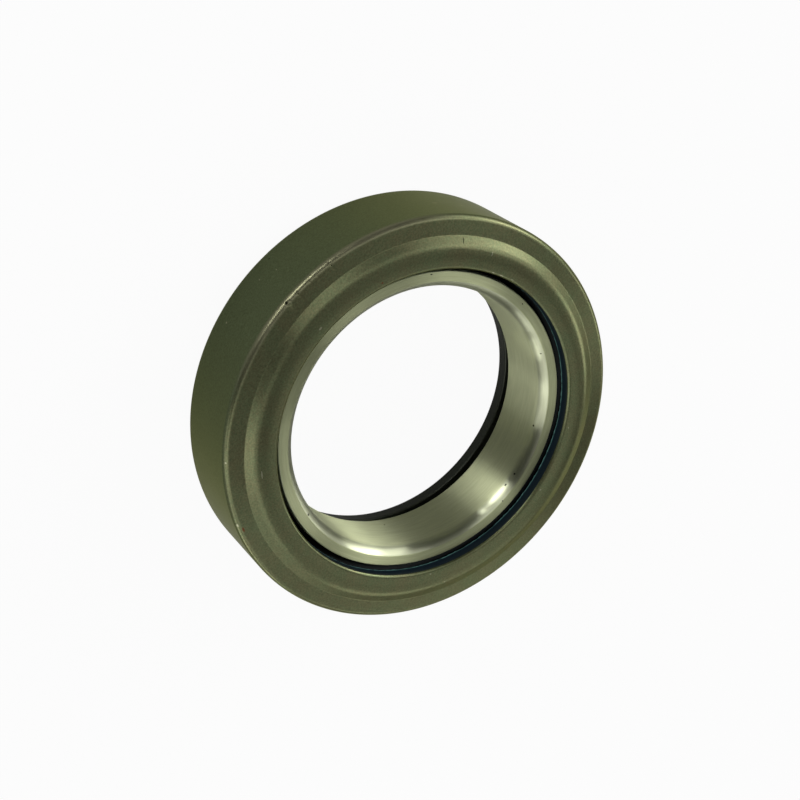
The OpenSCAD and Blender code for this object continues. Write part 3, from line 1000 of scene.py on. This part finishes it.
def seen_share(tree, shown, mirrored):
    """Shown for the camera's rays, mirrored for glossy and transmission rays, 0 for the rest."""
    path = add(tree, "LightPath", {}).outputs
    other = calc(tree, "MAXIMUM", path["Is Glossy Ray"], path["Is Transmission Ray"])
    return scaled(tree, path["Is Camera Ray"], by=shown, plus=calc(tree, "MULTIPLY", other, mirrored))


def lay_floor():
    """A pale diffuse floor mixed with a white glow by the share that the kind of ray gives."""
    corners = [(x * FLOOR_HALF, y * FLOOR_HALF, 0) for x, y in ((-1, -1), (1, -1), (1, 1), (-1, 1))]
    mesh = bpy.data.meshes.new("floor")
    mesh.from_pydata(corners, [], [(0, 1, 2, 3)])
    floor = bpy.data.objects.new("floor", mesh)
    bpy.context.scene.collection.objects.link(floor)
    material = bpy.data.materials.new("pale_floor")
    material.use_nodes = True
    tree = material.node_tree
    shader = tree.nodes["Principled BSDF"]
    shader.inputs["Base Color"].default_value = FLOOR_GREY
    shader.inputs["Roughness"].default_value = FLOOR_ROUGH
    shader.inputs["Specular IOR Level"].default_value = 0.0
    share = seen_share(tree, SHOWN_WHITE, MIRRORED_WHITE)
    glow = add(tree, "Emission", {"Color": WHITE, "Strength": 1.0}).outputs[0]
    mixed = add(tree, "MixShader", {0: share, 1: shader.outputs[0], 2: glow}).outputs[0]
    tree.links.new(mixed, tree.nodes["Material Output"].inputs["Surface"])
    mesh.materials.append(material)
    return floor


floor = lay_floor()
print(floor.name, "reaches", FLOOR_HALF, "m each way")

# %% Room
ROOM_LEVEL = 0.02
MIRRORED_ROOM = 0.03


def light_room():
    """A dim even world that still shows white behind the bearing."""
    world = bpy.data.worlds.new("studio")
    world.use_nodes = True
    tree = world.node_tree
    room = tree.nodes["Background"]
    room.inputs["Color"].default_value = WHITE
    share = seen_share(tree, 1 - ROOM_LEVEL, MIRRORED_ROOM)
    tree.links.new(calc(tree, "ADD", share, ROOM_LEVEL), room.inputs["Strength"])
    bpy.context.scene.world = world


bpy.context.scene.view_settings.view_transform = "Standard"
light_room()
print("room level", ROOM_LEVEL)

# %% Softboxes
# Azimuth, elevation and width in degrees, and the light on a sheet that faces the lamp
SOFTBOXES = [
    (10, 8, 16, 0.28),
    (28, 8, 16, 0.20),
    (75, 8, 24, 0.03),
    (100, 8, 20, 0.07),
    (155, 8, 16, 0.10),
    (175, 13, 30, 0.60),
    (263, 15, 20, 1.12),
    (332, 16, 32, 0.38),
    (20, 25, 20, 0.12),
    (40, 25, 20, 0.10),
    (60, 25, 20, 0.20),
    (80, 25, 20, 0.12),
    (120, 25, 20, 0.37),
    (140, 25, 20, 0.16),
    (158, 25, 20, 0.76),
    (173, 27, 20, 0.12),
    (248, 22, 5, 0.18),
    (355, 25, 30, 0.34),
    (0, 48, 24, 0.10),
    (30, 48, 24, 0.22),
    (60, 48, 24, 0.07),
    (90, 48, 24, 0.12),
    (150, 48, 24, 0.33),
    (172, 48, 22, 0.18),
    (345, 48, 26, 0.28),
    (0, 70, 30, 0.14),
    (112, 70, 24, 0.04),
    (180, 70, 24, 0.10),
    (240, 70, 22, 0.24),
]
BOX_DISTANCE = 1.5


def add_softbox(azimuth, elevation, width, light):
    """A round lamp that faces the bearing; its power is light x pi x distance squared."""
    a, e = math.radians(azimuth), math.radians(elevation)
    towards = Vector((math.cos(e) * math.cos(a), math.cos(e) * math.sin(a), math.sin(e)))
    data = bpy.data.lights.new("softbox", "AREA")
    data.shape = "DISK"
    data.size = 2 * BOX_DISTANCE * math.tan(math.radians(width / 2))
    data.energy = light * math.pi * BOX_DISTANCE**2
    lamp = bpy.data.objects.new("softbox", data)
    lamp.location = towards * BOX_DISTANCE
    lamp.rotation_euler = towards.to_track_quat("Z", "Y").to_euler()
    bpy.context.scene.collection.objects.link(lamp)


for softbox in SOFTBOXES:
    add_softbox(*softbox)
facing_up = sum(light * math.sin(math.radians(elevation)) for _, elevation, _, light in SOFTBOXES)
print("light on a level white surface", round(facing_up / math.pi + ROOM_LEVEL, 3))
